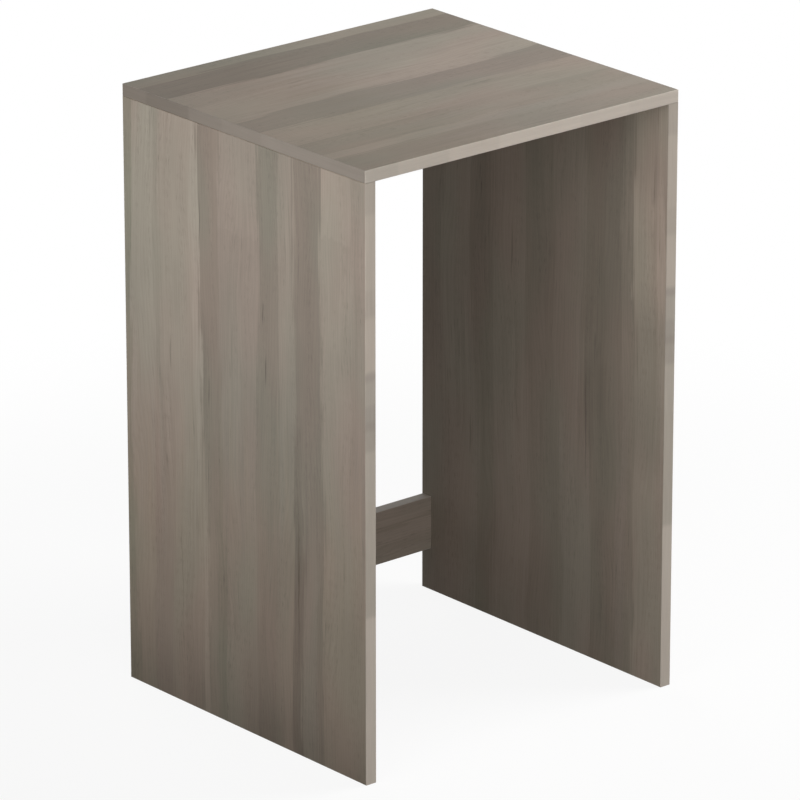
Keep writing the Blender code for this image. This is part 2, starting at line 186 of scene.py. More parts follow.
# Besides the print, the right side's staves hold painted light: those near the front are lightened where
# light falls in past the front edge, and the head's staves further back are darkened as painted shade of a
# machine in the bay.
RIGHT_SIDE_HEAD_WITH_PAINTED_LIGHT = (
    (0.000, 0.87, 0.2, 0.1), (0.090, 0.98, 0.2, 0.0), (0.212, 0.84, 0.4, 0.1), (0.304, 0.97, 0.3, 0.0),
    (0.436, 0.84, 0.4, 0.1), (0.550, 0.92, 0.3, 0.0), (0.675, 0.75, 0.5, 0.0), (0.772, 0.87, 0.3, 0.0),
    (0.833, 1.02, 0.2, 0.1), (0.879, 1.22, 0.2, 0.0), (0.948, 1.18, 0.3, 0.0), (0.962, 1.33, 0.2, -0.3),
)
RIGHT_SIDE_FOOT_WITH_PAINTED_LIGHT = (
    (0.000, 0.98, 0.0, 0.2), (0.105, 1.03, 0.1, 0.0), (0.230, 0.93, 0.2, 0.4), (0.285, 1.04, 0.1, 0.0),
    (0.450, 0.94, 0.2, 0.2), (0.580, 1.04, 0.0, 0.0), (0.700, 0.88, 0.3, 0.3), (0.810, 1.00, 0.0, 0.0),
    (0.850, 0.98, 0.2, 0.3), (0.885, 1.20, 0.2, 0.0), (0.950, 1.22, 0.2, 0.0),
)
RAIL_FIGURE = (
    (0.000, 0.98, 0.0, 0.0), (0.180, 1.04, 0.1, 0.0), (0.300, 0.92, 0.2, 0.2), (0.420, 1.05, 0.0, 0.0),
    (0.680, 0.95, 0.1, 0.2), (0.860, 1.02, 0.0, 0.0),
)
# The edging's print up a side, its lowest part lightened as painted light: (share of the height where a tone
# begins, tone, warmth, greenness)
SIDE_EDGE_PRINT_WITH_PAINTED_LIGHT = (
    (0.000, 1.43, 0.0, 0.1), (0.120, 1.41, 0.0, 0.1), (0.282, 1.14, 0.1, 0.4), (0.480, 1.16, 0.0, 0.4),
    (0.560, 0.99, 0.0, 0.3), (0.595, 0.87, 0.0, 0.2), (0.609, 0.95, -0.2, 0.3), (0.636, 1.05, -0.1, 0.3),
    (0.676, 0.92, 0.0, 0.1), (0.690, 1.17, 0.3, 0.0), (0.780, 1.05, 0.3, 0.1), (0.826, 1.11, 0.3, 0.1),
    (0.948, 1.00, 0.2, 0.2),
)
# The same along the top's front and rear and along the rails, from the left
TOP_EDGE_PRINT = (
    (0.00, 0.90, -0.2, 0.3), (0.10, 0.97, -0.1, 0.2), (0.26, 1.05, 0.0, 0.1), (0.42, 1.12, -0.1, 0.1),
    (0.68, 1.08, -0.2, 0.1), (0.84, 1.03, -0.2, 0.1),
)
# The same along the top's ends, from the front
TOP_END_PRINT = (
    (0.00, 0.87, 0.2, 0.0), (0.14, 0.90, 0.2, 0.0), (0.34, 0.93, 0.2, 0.0), (0.42, 0.88, 0.3, 0.0),
    (0.58, 0.83, 0.3, 0.0), (0.72, 0.73, 0.5, 0.0), (0.90, 0.80, 0.5, 0.0),
)
# Staves whose tone changes up their length, in shares: (begin, end, height of the change, its reach, lift)
LEFT_SIDE_JOINTS = ((0.826, 0.938, 0.890, 0.003, 0.07), (0.406, 0.548, 0.840, 0.003, 0.05))
# The right side's first four rows, on its front stave, are painted light: brightest a little above mid height
# and darker just under the top.
RIGHT_SIDE_JOINTS_WITH_PAINTED_LIGHT = (
    (0.879, 0.999, 0.370, 0.050, -0.08), (0.879, 0.999, 0.510, 0.040, 0.08),
    (0.879, 0.999, 0.640, 0.060, 0.21), (0.879, 0.999, 0.850, 0.050, -0.12),
    (0.675, 0.772, 0.520, 0.030, 0.09),
)
# Painted shade, in shares: a board darkened towards its foot, where shade gathers by the floor, and the top
# towards its left end:
# (begin of the zone, its end, height where the shade begins, depth)
LEFT_SIDE_PAINTED_SHADE = ((-1.0, 2.0, 0.14, 0.20), (-1.0, 0.34, 0.24, 0.13), (0.50, 0.667, 0.24, 0.15))
TOP_PAINTED_SHADE = ((-1.0, 2.0, 0.14, 0.10),)
# Drying cracks in the print: (share from the rear, share of the height, half length, half width, depth)
LEFT_SIDE_CRACKS = (
    (0.191, 0.596, 0.042, 0.0024, 0.30), (0.319, 0.835, 0.055, 0.0022, 0.30),
    (0.584, 0.724, 0.026, 0.0024, 0.32), (0.593, 0.631, 0.036, 0.0026, 0.34),
    (0.354, 0.556, 0.040, 0.0030, 0.20), (0.453, 0.646, 0.065, 0.0020, 0.16),
    (0.233, 0.226, 0.150, 0.0022, 0.14), (0.726, 0.292, 0.180, 0.0024, 0.30),
)
RIGHT_SIDE_CRACKS = (
    (0.951, 0.854, 0.050, 0.0018, 0.24), (0.686, 0.396, 0.120, 0.0022, 0.24),
    (0.376, 0.660, 0.060, 0.0022, 0.26), (0.205, 0.311, 0.050, 0.0024, 0.26),
)
# The studio's softboxes: name, place, target, width and height, and spread in degrees
SOFTBOXES = (
    ("key", (-1.6, -0.40, 1.3), (-0.35, 0.16, 0.85), (1.4, 0.7), 90),
    ("front", (-2.2, -4.1, 1.2), (0.0, -0.3, 0.5), (2.0, 2.0), 180),
    ("overhead", (2.0, -1.0, 2.1), (0.1, 0.0, 1.0), (1.3, 1.3), 180),
    ("rear", (1.2, 4.0, 1.3), (0.0, 0.0, 0.6), (2.0, 2.0), 180),
    ("bay", (0.0, 0.05, 0.02), (0.0, 0.0, 1.0), (0.5, 0.3), 90),
)


class Board:
    """Which way a board's grain runs, and its figure."""

    def __init__(
        self, node, across, along, head, foot, seed, flipped=True, joints=(), shades=(), cracks=(),
        change=(0.25, 0.60),
    ):
        self.node, self.seed = node, seed
        self.across, self.along = across, along
        self.thin = ({X, Y, Z} - {across, along}).pop()
        self.head, self.foot, self.change, self.flipped = head, foot, change, flipped
        self.joints, self.shades, self.cracks = joints, shades, cracks
        self.low, self.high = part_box(node)

    def size(self, axis):
        return self.high[axis] - self.low[axis]

    def share(self, link, axis):
        """The share of the way along an axis, from the board's low edge."""
        return (link - self.low[axis]) / self.size(axis)

    def figure_share(self, link):
        """The share of the way across the figure."""
        share = self.share(link, self.across)
        return 1 - share if self.flipped else share


BOARDS = {
    board.node: board
    for board in (
        Board(
            "left_side_panel", Y, Z, LEFT_SIDE_HEAD, LEFT_SIDE_FOOT, 3.0, joints=LEFT_SIDE_JOINTS,
            shades=LEFT_SIDE_PAINTED_SHADE, cracks=LEFT_SIDE_CRACKS,
        ),
        Board(
            "right_side_panel", Y, Z, RIGHT_SIDE_HEAD_WITH_PAINTED_LIGHT, RIGHT_SIDE_FOOT_WITH_PAINTED_LIGHT, 11.0, joints=RIGHT_SIDE_JOINTS_WITH_PAINTED_LIGHT,
            cracks=RIGHT_SIDE_CRACKS,
        ),
        Board("top_panel", Y, X, TOP_RIGHT, TOP_LEFT, 23.0, shades=TOP_PAINTED_SHADE, change=(0.20, 0.62)),
        Board("upper_rail", Z, X, RAIL_FIGURE, RAIL_FIGURE, 31.0, flipped=False),
        Board("lower_rail", Z, X, RAIL_FIGURE, RAIL_FIGURE, 43.0),
    )
}


def socket_of(sockets, key):
    """A socket by its number, or the first in use by its name."""
    if isinstance(key, int):
        return sockets[key]
    return next(one for one in sockets if one.name == key and not one.is_unavailable)


class Link:
    """An output socket of a finish. Arithmetic on it adds Math nodes."""

    def __init__(self, finish, socket):
        self.finish, self.socket = finish, socket

    def math(self, operation, *values):
        return self.finish.math(operation, self, *values)

    def __add__(self, other):
        return self.math("ADD", other)

    __radd__ = __add__

    def __sub__(self, other):
        return self.math("SUBTRACT", other)

    def __rsub__(self, other):
        return self.finish.math("SUBTRACT", other, self)

    def __mul__(self, other):
        return self.math("MULTIPLY", other)

    def __truediv__(self, other):
        return self.math("DIVIDE", other)

    def __abs__(self):
        return self.math("ABSOLUTE")

    def larger(self, other):
        return self.math("MAXIMUM", other)

    def rise(self, low, high):
        """0 below low, 1 above high, and a smooth step between."""
        settings = {"interpolation_type": "SMOOTHSTEP"}
        values = {"Value": self, "From Min": low, "From Max": high}
        return self.finish.node("ShaderNodeMapRange", settings, values)

    def around(self, middle, reach):
        """A rise that is halfway up at the middle."""
        return self.rise(middle - reach, middle + reach)


class Nodes:
    """A node tree, and the one way to add nodes to it."""

    def __init__(self, owner):
        owner.use_nodes = True
        self.tree = owner.node_tree

    def node(self, kind, settings=None, inputs=None, output=0):
        """Adds a node, sets it, then feeds its sockets, and gives one of its outputs."""
        made = self.tree.nodes.new(kind)
        for name, value in (settings or {}).items():
            if name == "stops":
                self.lay_stops(made.color_ramp, value)
            else:
                setattr(made, name, value)
        for key, value in (inputs or {}).items():
            self.feed(socket_of(made.inputs, key), value)
        return Link(self, socket_of(made.outputs, output))

    def lay_stops(self, ramp, stops):
        while len(ramp.elements) < len(stops):
            ramp.elements.new(1.0)
        for element, (place, colour) in zip(ramp.elements, stops):
            element.position = place
            element.color = (*colour, 1.0)

    def feed(self, socket, value):
        if isinstance(value, Link):
            self.tree.links.new(value.socket, socket)
        elif isinstance(value, (int, float)):
            socket.default_value = value
        else:
            filled = list(value) + [1.0] * (len(socket.default_value) - len(value))
            socket.default_value = filled

    def math(self, operation, *values):
        return self.node("ShaderNodeMath", {"operation": operation}, dict(enumerate(values)))

    def ray(self, kind):
        return self.node("ShaderNodeLightPath", output=f"Is {kind} Ray")


class Finish(Nodes):
    """A material made of nodes around one Principled shader."""

    def __init__(self, name):
        self.material = bpy.data.materials.new(name)
        super().__init__(self.material)
        self.shader = self.tree.nodes["Principled BSDF"]
        place = self.node("ShaderNodeTexCoord", output="Object")
        split = self.node("ShaderNodeSeparateXYZ", inputs={0: place}).socket.node
        self.x_y_z = [Link(self, socket) for socket in split.outputs]

    def noise(self, x, y, z, detail=2.0, roughness=0.5):
        """Cloudy noise about zero."""
        at = self.node("ShaderNodeCombineXYZ", inputs={0: x, 1: y, 2: z})
        values = {"Vector": at, "Scale": 1.0, "Detail": detail, "Roughness": roughness}
        return self.node("ShaderNodeTexNoise", inputs=values) - 0.5

    def stretched(self, often):
        """The place on the piece, in metres, times how often a noise changes in a metre."""
        return [part * times for part, times in zip(self.x_y_z, often)]

    def grain(self, often, detail=2.0, roughness=0.5):
        return self.noise(*self.stretched(often), detail, roughness)

    def cells(self, often):
        """The colour of scattered cells, and the distance from their middles."""
        at = self.node("ShaderNodeCombineXYZ", inputs=dict(enumerate(self.stretched(often))))
        distance = self.node("ShaderNodeTexVoronoi", inputs={"Vector": at, "Scale": 1.0})
        return Link(self, distance.socket.node.outputs["Color"]), distance

    def blend(self, mask, first, second, way="MIX"):
        """The first colour where the mask is 0, the second where it is 1."""
        settings = {"data_type": "RGBA", "blend_type": way}
        return self.node("ShaderNodeMix", settings, {"Factor": mask, "A": first, "B": second}, "Result")

    def tinted(self, colour, other):
        return self.blend(1.0, colour, other, "MULTIPLY")

    def scaled(self, colour, amount):
        return self.node("ShaderNodeVectorMath", {"operation": "SCALE"}, {0: colour, "Scale": amount})

    def bumped(self, height, distance):
        return self.node("ShaderNodeBump", inputs={"Height": height, "Distance": distance})

    def shade(self, sockets):
        """Feeds the Principled shader's sockets, and gives the material."""
        for name, value in sockets.items():
            self.feed(self.shader.inputs[name], value)
        return self.material

    def printed(self, look, colour, roughness, height, depth=0.5):
        """The material with the decor's sheen, embossed to a share of the decor's relief."""
        return self.shade({
            "Base Color": colour,
            "Roughness": roughness,
            "Specular IOR Level": look.sheen,
            "Normal": self.bumped(height, look.relief * depth),
        })


def print_stops(staves):
    """Ramp stops for staves with crisp edges."""
    stops = []
    ends = [stave[0] for stave in staves[1:]] + [1.0 + STAVE_EDGE_SHARE]
    for (begin, tone, warmth, green), end in zip(staves, ends):
        tint = [1 + warmth * warm + green * cool for warm, cool in zip(WARMTH_TINT, GREEN_TINT)]
        colour = [tone * part / TONE_HEADROOM for part in tint]
        stops.append((begin + STAVE_EDGE_SHARE if begin else 0.0, colour))
        stops.append((end - STAVE_EDGE_SHARE, colour))
    return stops


class OakPrint:
    """Links for the oak print on one board: its figure, grain, pores and cracks."""

    def __init__(self, finish, board, look):
        self.finish, self.board = finish, board
        across, self.along = finish.x_y_z[board.across], finish.x_y_z[board.along]
        line = across + self.layer("wander", across) * look.wander
        ripple = self.layer("ripple", across) * look.wander * RIPPLE_SHARE
        feather = self.layer("feather", across) * look.feather
        figure = self.figure(line + ripple + feather, across)

        lively = self.faded("lively", line)
        streaks = self.layer("streaks", line) * (lively + CALM_STREAKS)
        clouds, fibres = self.layer("clouds", line), self.layer("fibres", line)
        flecks = self.faded("flecks", line) * lively
        sweep = self.layer("sweep", across) * RING_SWEEP
        rings = ((line + sweep) * look.rings).math("FRACT")
        late_wood = rings.rise(*LATE_WOOD_RISE) * (1 - rings.rise(*LATE_WOOD_FALL))
        self.pores = self.faded("pores", line) * self.faded("pore rows", line)
        cracks = self.crack_mask(across + ripple * CRACK_RIPPLE)
        relief = fibres * FIBRE_RELIEF - late_wood * LATE_WOOD_RELIEF
        self.relief = relief - self.pores - cracks * CRACK_RELIEF
        tone = (
            1
            + streaks * look.streaks
            + clouds * look.clouds
            + fibres * look.fibres
            - flecks * look.flecks
            - late_wood * look.late_wood
            - self.pores * look.pores
            - cracks
        )
        hue = finish.blend(self.faded("drift", line), look.cool, look.warm)
        colour = finish.tinted(finish.tinted(figure, hue), look.oak)
        self.colour = finish.scaled(colour, tone * TONE_HEADROOM)

    def layer(self, name, across):
        """One layer's noise about zero. Each layer of a board has its own seed."""
        often_across, often_along, detail, roughness = GRAIN[name]
        seed = self.board.seed + list(GRAIN).index(name)
        return self.finish.noise(across * often_across, self.along * often_along, seed, detail, roughness)

    def faded(self, name, across):
        return self.layer(name, across).rise(*FADES[name])

    def figure(self, line, across):
        """The staves' tones, which change from the board's foot to its head along ragged ends."""
        finish, board = self.finish, self.board
        share = board.figure_share(line)
        head = finish.node("ShaderNodeValToRGB", {"stops": print_stops(board.head)}, {0: share})
        if board.foot is board.head:
            return head
        foot = finish.node("ShaderNodeValToRGB", {"stops": print_stops(board.foot)}, {0: share})
        height = board.share(self.along, board.along)
        ragged = self.layer("ragged", across)
        figure = finish.blend((height + ragged * RAGGED_CHANGE).rise(*board.change), foot, head)
        for begin, end, joint, reach, lift in board.joints:
            within = share.around(begin, JOINT_BEGIN) * (1 - share.around(end, JOINT_END))
            above = (height + ragged * RAGGED_JOINT).around(joint, reach)
            figure = finish.scaled(figure, within * above * lift + 1)
        # Painted shade: darker towards the board's foot, and on the top towards its left end
        for begin, end, level, depth in board.shades:
            within = share.around(begin, SHADE_EDGE) * (1 - share.around(end, SHADE_EDGE))
            below = 1 - height.rise(SHADE_FOOT, level)
            figure = finish.scaled(figure, 1 - within * below * depth)
        return figure

    def crack_mask(self, across):
        """How dark the drying cracks are at a point. Each tapers to its ends."""
        board = self.board
        share, height = board.figure_share(across), board.share(self.along, board.along)
        breadth, length = board.size(board.across), board.size(board.along)
        darkest = 0.0
        for middle, level, half_length, half_width, depth in board.cracks:
            taper = 1 - abs((height - level) * (length / half_length)).rise(CRACK_CORE, 1.0)
            thin = 1 - abs((share - middle) * (breadth / half_width)).rise(CRACK_CORE, 1.0)
            darkest = (taper * thin * depth).larger(darkest)
        return darkest


def decor_on_chipboard(board, look):
    """Oak print on the board's two faces, and bare chipboard in its bores and on its cut edges."""
    finish = Finish(f"oak_decor_{board.node}")
    oak = OakPrint(finish, board, look)
    chip, chip_middle = finish.cells(CHIPS)
    chip_tone = finish.node("ShaderNodeSeparateXYZ", inputs={0: chip})
    chipboard = finish.scaled(look.chipboard, chip_tone * 0.5 + finish.grain(CHIP_GRIT) * 0.5 + 0.75)
    half = board.size(board.thin) / 2
    from_core = abs(finish.x_y_z[board.thin] - (board.low[board.thin] + half))
    paper = from_core.rise(half - 2 * look.paper, half - look.paper)
    colour = finish.blend(paper, chipboard, oak.colour)
    roughness = look.roughness + oak.pores * 0.12 + (1 - paper) * 0.3
    height = oak.relief * paper + (chip_middle * 1.6) * (1 - paper)
    return finish.printed(look, colour, roughness, height, depth=1.0)


def edging_with_print(name, board, look, stops, along_axis, tone=1.0):
    """Plastic edging with a print up its length, and fine grain along it."""
    finish = Finish(name)
    across = list(finish.x_y_z)
    along = across.pop(along_axis)

    def layer(often, roughness=0.5):
        often_across, often_along = often
        places = [part * often_across for part in across]
        return finish.noise(*places, along * often_along + board.seed, roughness=roughness)

    share = board.share(along, along_axis) + layer(EDGE_SLANT) * SLANT_REACH
    print_colour = finish.node("ShaderNodeValToRGB", {"stops": print_stops(stops)}, {0: share})
    fibres, streaks = layer(EDGE_FIBRES, roughness=0.6), layer(EDGE_STREAKS)
    colour = finish.tinted([part * tone for part in look.edging], print_colour)
    shade = (fibres * 0.16 + streaks * 0.12 + 1) * TONE_HEADROOM
    roughness = look.edging_roughness + fibres * 0.10
    return finish.printed(look, finish.scaled(colour, shade), roughness, fibres)


def edging_like_board(name, board, look):
    """Edging printed to run on from the board's own figure, with fine grain along it."""
    finish = Finish(name)
    oak = OakPrint(finish, board, look)
    ratio = [edge / face for edge, face in zip(look.edging, look.oak)]
    colour = finish.scaled(finish.tinted(oak.colour, ratio), finish.grain(FOOT_FIBRES) * 0.10 + 1)
    return finish.printed(look, colour, look.edging_roughness + oak.pores * 0.10, oak.relief)


def cast_zinc(look):
    """Die-cast zinc: dull, faintly mottled, with flow marks."""
    finish = Finish("cast_zinc")
    mottle = finish.grain(ZINC_MOTTLE, detail=3, roughness=0.6)
    flow = finish.grain(ZINC_FLOW)
    speck = finish.grain(ZINC_SPECK, detail=1)
    return finish.shade({
        "Base Color": finish.scaled(look.zinc, mottle * 0.35 + flow * 0.12 + 1),
        "Metallic": 1.0,
        "Roughness": look.zinc_roughness + mottle * 0.25,
        "Normal": finish.bumped(speck + flow, ZINC_RELIEF),
    })


def plated_steel(look):
    """Bright zinc plating over turned steel, with fine turning marks."""
    finish = Finish("plated_steel")
    haze = finish.grain(STEEL_HAZE, detail=3)
    turning = finish.grain(STEEL_TURNING, detail=1)
    return finish.shade({
        "Base Color": finish.scaled(look.steel, haze * 0.20 + turning * 0.10 + 1),
        "Metallic": 1.0,
        "Roughness": look.steel_roughness + haze * 0.20,
        "Normal": finish.bumped(turning, STEEL_RELIEF),
    })


def beech(look):
    """Plain beech: pale, with short dark ray flecks."""
    finish = Finish("beech")
    grain = finish.grain(BEECH_GRAIN, detail=3)
    fleck = finish.grain(BEECH_FLECKS, detail=1).rise(0.10, 0.18)
    return finish.shade({
        "Base Color": finish.scaled(look.beech, grain * 0.35 - fleck * 0.22 + 1),
        "Roughness": 0.68 + fleck * 0.10,
        "Normal": finish.bumped(grain - fleck, BEECH_RELIEF),
    })


def cap_plastic(side, look):
    """Moulded plastic with the side board's own print, which hides the cap on the board."""
    finish = Finish(f"cap_plastic_{side}")
    oak = OakPrint(finish, BOARDS[f"{side}_side_panel"], look)
    _, grain = finish.cells(CAP_GRAIN)
    colour = finish.scaled(oak.colour, grain * 0.06 + 0.98)
    roughness = look.edging_roughness + oak.pores * 0.10
    return finish.printed(look, colour, roughness, oak.relief + grain * 0.5)


def on_circle(radius, angle):
    return radius * math.cos(angle), radius * math.sin(angle)


def mirrored(profile):
    """The upper half of a profile, and its lower half."""
    return profile + [(radius, -height) for radius, height in reversed(profile)]


def lathe(shape, profile, sides, grooves=(0.0,)):
    """Adds a shape turned about Z from (radius, height) points, top down. Groove depths repeat round it."""
    rings = []
    for radius, height in profile:
        ring = []
        for step in range(sides):
            angle = 2 * math.pi * step / sides
            reach = radius - grooves[step % len(grooves)] if radius else 0
            ring.append(shape.verts.new((*on_circle(reach, angle), height)))
        rings.append(ring)
    for upper, lower in zip(rings, rings[1:]):
        for step in range(sides):
            after = (step + 1) % sides
            shape.faces.new((upper[step], lower[step], lower[after], upper[after]))
    bmesh.ops.remove_doubles(shape, verts=shape.verts, dist=MERGE_DISTANCE)
    return shape


def eased(profile, amount):
    """The profile with its corners cut back a little."""
    points = [Vector(point) for point in profile]
    path = [points[0]]
    for before, corner, after in zip(points, points[1:], points[2:]):
        path.append(corner + (before - corner).normalized() * amount)
        path.append(corner + (after - corner).normalized() * amount)
    return [*path, points[-1]]


def prism(outline, low, high, taper=1.0):
    """A prism over an outline that runs anticlockwise. Its foot is smaller by the taper."""
    shape = bmesh.new()
    head = [shape.verts.new((x, y, high)) for x, y in outline]
    foot = [shape.verts.new((x * taper, y * taper, low)) for x, y in outline]
    shape.faces.new(head)
    shape.faces.new(reversed(foot))
    for step in range(len(outline)):
        after = (step + 1) % len(outline)
        shape.faces.new((foot[step], foot[after], head[after], head[step]))
    return shape


def object_of(name, data):
    made = bpy.data.objects.new(name, data)
    bpy.context.scene.collection.objects.link(made)
    return made


def object_from(shape, name):
    mesh = bpy.data.meshes.new(name)
    shape.to_mesh(mesh)
    shape.free()
    return object_of(name, mesh)


def finished(name, body, cutters=()):
    """The body's mesh, smooth between its sharp edges, with the cutters taken away from it."""
    blank = object_from(body, name)
    tools = [object_from(cutter, f"{name}_cutter") for cutter in cutters]
    for tool in tools:
        bore = blank.modifiers.new("bore", "BOOLEAN")
        bore.operation, bore.solver, bore.object = "DIFFERENCE", "EXACT", tool
    bpy.context.view_layer.update()
    view = bpy.context.evaluated_depsgraph_get()
    mesh = bpy.data.meshes.new_from_object(blank.evaluated_get(view))
    mesh.name = name
    for spent in (blank, *tools):
        bpy.data.objects.remove(spent, do_unlink=True)
    clean = bmesh.new()
    clean.from_mesh(mesh)
    bmesh.ops.dissolve_degenerate(clean, dist=MERGE_DISTANCE, edges=clean.edges)
    clean.to_mesh(mesh)
    clean.free()
    mesh.shade_smooth()
    mesh.set_sharp_from_angle(angle=SHARP_ANGLE)
    return mesh


def cross_outline(span, width):
    """The outline of a cross with four equal arms, anticlockwise."""
    tip, side = span / 2, width / 2
    arm = ((tip, -side), (tip, side), (side, side))
    turns = ((1, 0, 0, 1), (0, -1, 1, 0), (-1, 0, 0, -1), (0, 1, -1, 0))
    return [(a * x + b * y, c * x + d * y) for a, b, c, d in turns for x, y in arm]


def cam_lock_mesh(look):
    """A cast cam lock with room for its bolt's head, a slot for its neck, a cross recess and an arrow."""
    body = [(0, CAM_FACE), (CAM_RADIUS, CAM_FACE), (CAM_RADIUS, CAM_BOTTOM), (0, CAM_BOTTOM)]
    room = mirrored([(0, CAVITY_HALF_HEIGHT), (CAVITY_RADIUS, CAVITY_HALF_HEIGHT)])
    beyond, above = CAM_RADIUS * CUT_OVERRUN, CAM_FACE + ARROW_DEPTH
    bore = [(0, beyond), (WAY_IN_RADIUS, beyond), (WAY_IN_RADIUS, 0), (0, 0)]
    way_in = lathe(bmesh.new(), bore, BOLT_SIDES)
    bmesh.ops.rotate(way_in, matrix=Matrix.Rotation(-math.pi / 2, 3, "Y"), verts=way_in.verts)
    first, last = -math.pi - SLOT_END_ROOM, SLOT_END_ROOM
    slot = [(0, 0)]
    for step in range(ROUND_SIDES + 1):
        angle = first + (last - first) * step / ROUND_SIDES
        slot.append(on_circle(beyond, angle))
    foot = CAM_FACE - DRIVE_HOLE_DEPTH
    drive = [(0, above), (DRIVE_HOLE_RADIUS, above), (DRIVE_HOLE_RADIUS, foot + look.easing), (0, foot)]
    cutters = (
        lathe(bmesh.new(), room, ROUND_SIDES),
        prism(slot, -SLOT_HALF_HEIGHT, SLOT_HALF_HEIGHT),
        way_in,
        prism(cross_outline(DRIVE_SPAN, DRIVE_WIDTH), CAM_FACE - DRIVE_DEPTH, above, DRIVE_TAPER),
        lathe(bmesh.new(), drive, BOLT_SIDES),
        prism(ARROW, CAM_FACE - ARROW_DEPTH, above),
    )
    return finished("cam_lock", lathe(bmesh.new(), eased(body, look.easing * 2), ROUND_SIDES), cutters)


def cut_thread(shape, pitch):
    """Adds the bolt's screw thread about Z. It runs out at both ends, and its last points lie on its root."""
    turns = math.ceil((THREAD_HEAD - THREAD_FOOT) / pitch) + 2
    columns = []
    for step in range(BOLT_SIDES + 1):
        angle = 2 * math.pi * step / BOLT_SIDES
        column = []
        for turn in range(turns):
            for share, tooth in THREAD_TOOTH:
                height = THREAD_FOOT + pitch * (turn + share + step / BOLT_SIDES - 1)
                height = min(max(height, THREAD_FOOT), THREAD_HEAD)
                depth = min((height - THREAD_FOOT) / RUN_OUT, (THREAD_HEAD - height) / RUN_OUT, 1.0)
                reach = THREAD_ROOT + (THREAD_RADIUS - THREAD_ROOT) * tooth * depth
                column.append(shape.verts.new((*on_circle(reach, angle), height)))
        columns.append(column)
    for column, after in zip(columns, columns[1:]):
        for row in range(len(column) - 1):
            shape.faces.new((column[row], after[row], after[row + 1], column[row + 1]))
    bmesh.ops.remove_doubles(shape, verts=shape.verts, dist=MERGE_DISTANCE)


def cam_bolt_mesh(look):
    """A cam bolt with a coarse screw thread, a collar, a plain shank, a neck and a head."""
    shape = bmesh.new()
    cut_thread(shape, look.pitch)
    lathe(shape, [(0, THREAD_LENGTH), (TIP_RADIUS, THREAD_LENGTH), (THREAD_ROOT, THREAD_HEAD)], BOLT_SIDES)
    lathe(shape, eased(BOLT_PROFILE, look.easing), BOLT_SIDES)
    return finished("cam_bolt", shape)


def cover_cap_mesh(look):
    """A low domed cap with a round rim, and a pin that clips into the cam lock's drive hole."""
    rim_top = CAP_CROWN - look.dome
    dome = [(share * (CAP_RADIUS - CAP_RIM), CAP_CROWN - look.dome * share**2) for share in CAP_DOME_SHARES]
    rim = []
    for step in range(CAP_RIM_STEPS + 1):
        angle = step * math.pi / 2 / CAP_RIM_STEPS
        rim.append((CAP_RADIUS - CAP_RIM * (1 - math.sin(angle)), rim_top - CAP_RIM * (1 - math.cos(angle))))
    foot = [rim[-1], (CAP_RADIUS, CAP_UNDER), (CAP_PIN_RADIUS, CAP_UNDER)]
    foot += [(CAP_PIN_RADIUS, CAP_PIN_FOOT), (0, CAP_PIN_FOOT)]
    return finished("cover_cap", lathe(bmesh.new(), dome + rim[:-1] + eased(foot, look.easing), ROUND_SIDES))


def dowel_mesh(look):
    """A fluted dowel with chamfered ends."""
    head = [
        (0, DOWEL_HALF_LENGTH),
        (DOWEL_RADIUS - DOWEL_CHAMFER, DOWEL_HALF_LENGTH),
        (DOWEL_RADIUS, DOWEL_HALF_LENGTH - DOWEL_CHAMFER),
    ]
    grooves = [look.flute_depth * step for step in FLUTE_STEPS]
    shape = lathe(bmesh.new(), eased(mirrored(head), look.easing), look.flutes * len(FLUTE_STEPS), grooves)
    return finished("dowel", shape)


def frame_at(origin, along, outward):
    """A fitting's place, with its X along one direction and its Z outward."""
    turn = Matrix((along, outward.cross(along), outward)).transposed()
    return Matrix.Translation(origin) @ turn.to_4x4()


class CamSpot:
    """One cam joint: the body that turns there, and the places of its cam lock and its bolt."""

    def __init__(self, joint):
        self.name = joint["name"].removesuffix("_cam_turn")
        self.body = joint["child"]
        self.fixed_body = joint["parent"]
        centre, outward = Vector(joint["pos_m"]), Vector(joint["axis"])
        low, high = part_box(f"{self.name}_cam_bolt")
        reach = (low + high) / 2 - centre
        along = Vector([round(part / reach.length) for part in reach])
        self.lock_place = frame_at(centre, along, outward)
        self.bolt_place = frame_at(centre + along * BOLT_REACH, outward, along)


CAM_SPOTS = [CamSpot(joint) for joint in frame["record"]["behaviour"]["joints"]]
CARCASS = CAM_SPOTS[0].fixed_body


def stand_in_for(node, mesh, place, body, slot):
    """Sets a finished piece where a CAD node is."""
    piece = object_of(f"{node}_{slot}", mesh)
    piece.matrix_world = place
    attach(piece, body)
    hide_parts(node)


def wear(material, *names):
    """Puts a material on CAD nodes."""
    for name in names:
        mesh = NODES[name].data
        mesh.materials.clear()
        mesh.materials.append(material)


def field(name, description, default, **more):
    """A number in the settings, or three."""
    made = bpy.props.FloatVectorProperty if isinstance(default, tuple) else bpy.props.FloatProperty
    return made(name=name, description=description, default=default, **more)


def colour_field(name, description, default):
    return field(name, description, default, subtype="COLOR", min=0, max=1)


def tint_field(name, description, default):
    return field(name, description, default, subtype="XYZ", min=0, max=2)


def share_field(name, description, default):
    return field(name, description, default, subtype="FACTOR", min=0, max=1)


def length_field(name, description, default, least=0.0):
    return field(name, description, default, unit="LENGTH", min=least, precision=5)


def angle_field(name, description, degrees):
    return field(name, description, math.radians(degrees), subtype="ANGLE")


def power_field(name, description, default):
    return field(name, description, default, subtype="POWER", min=0)


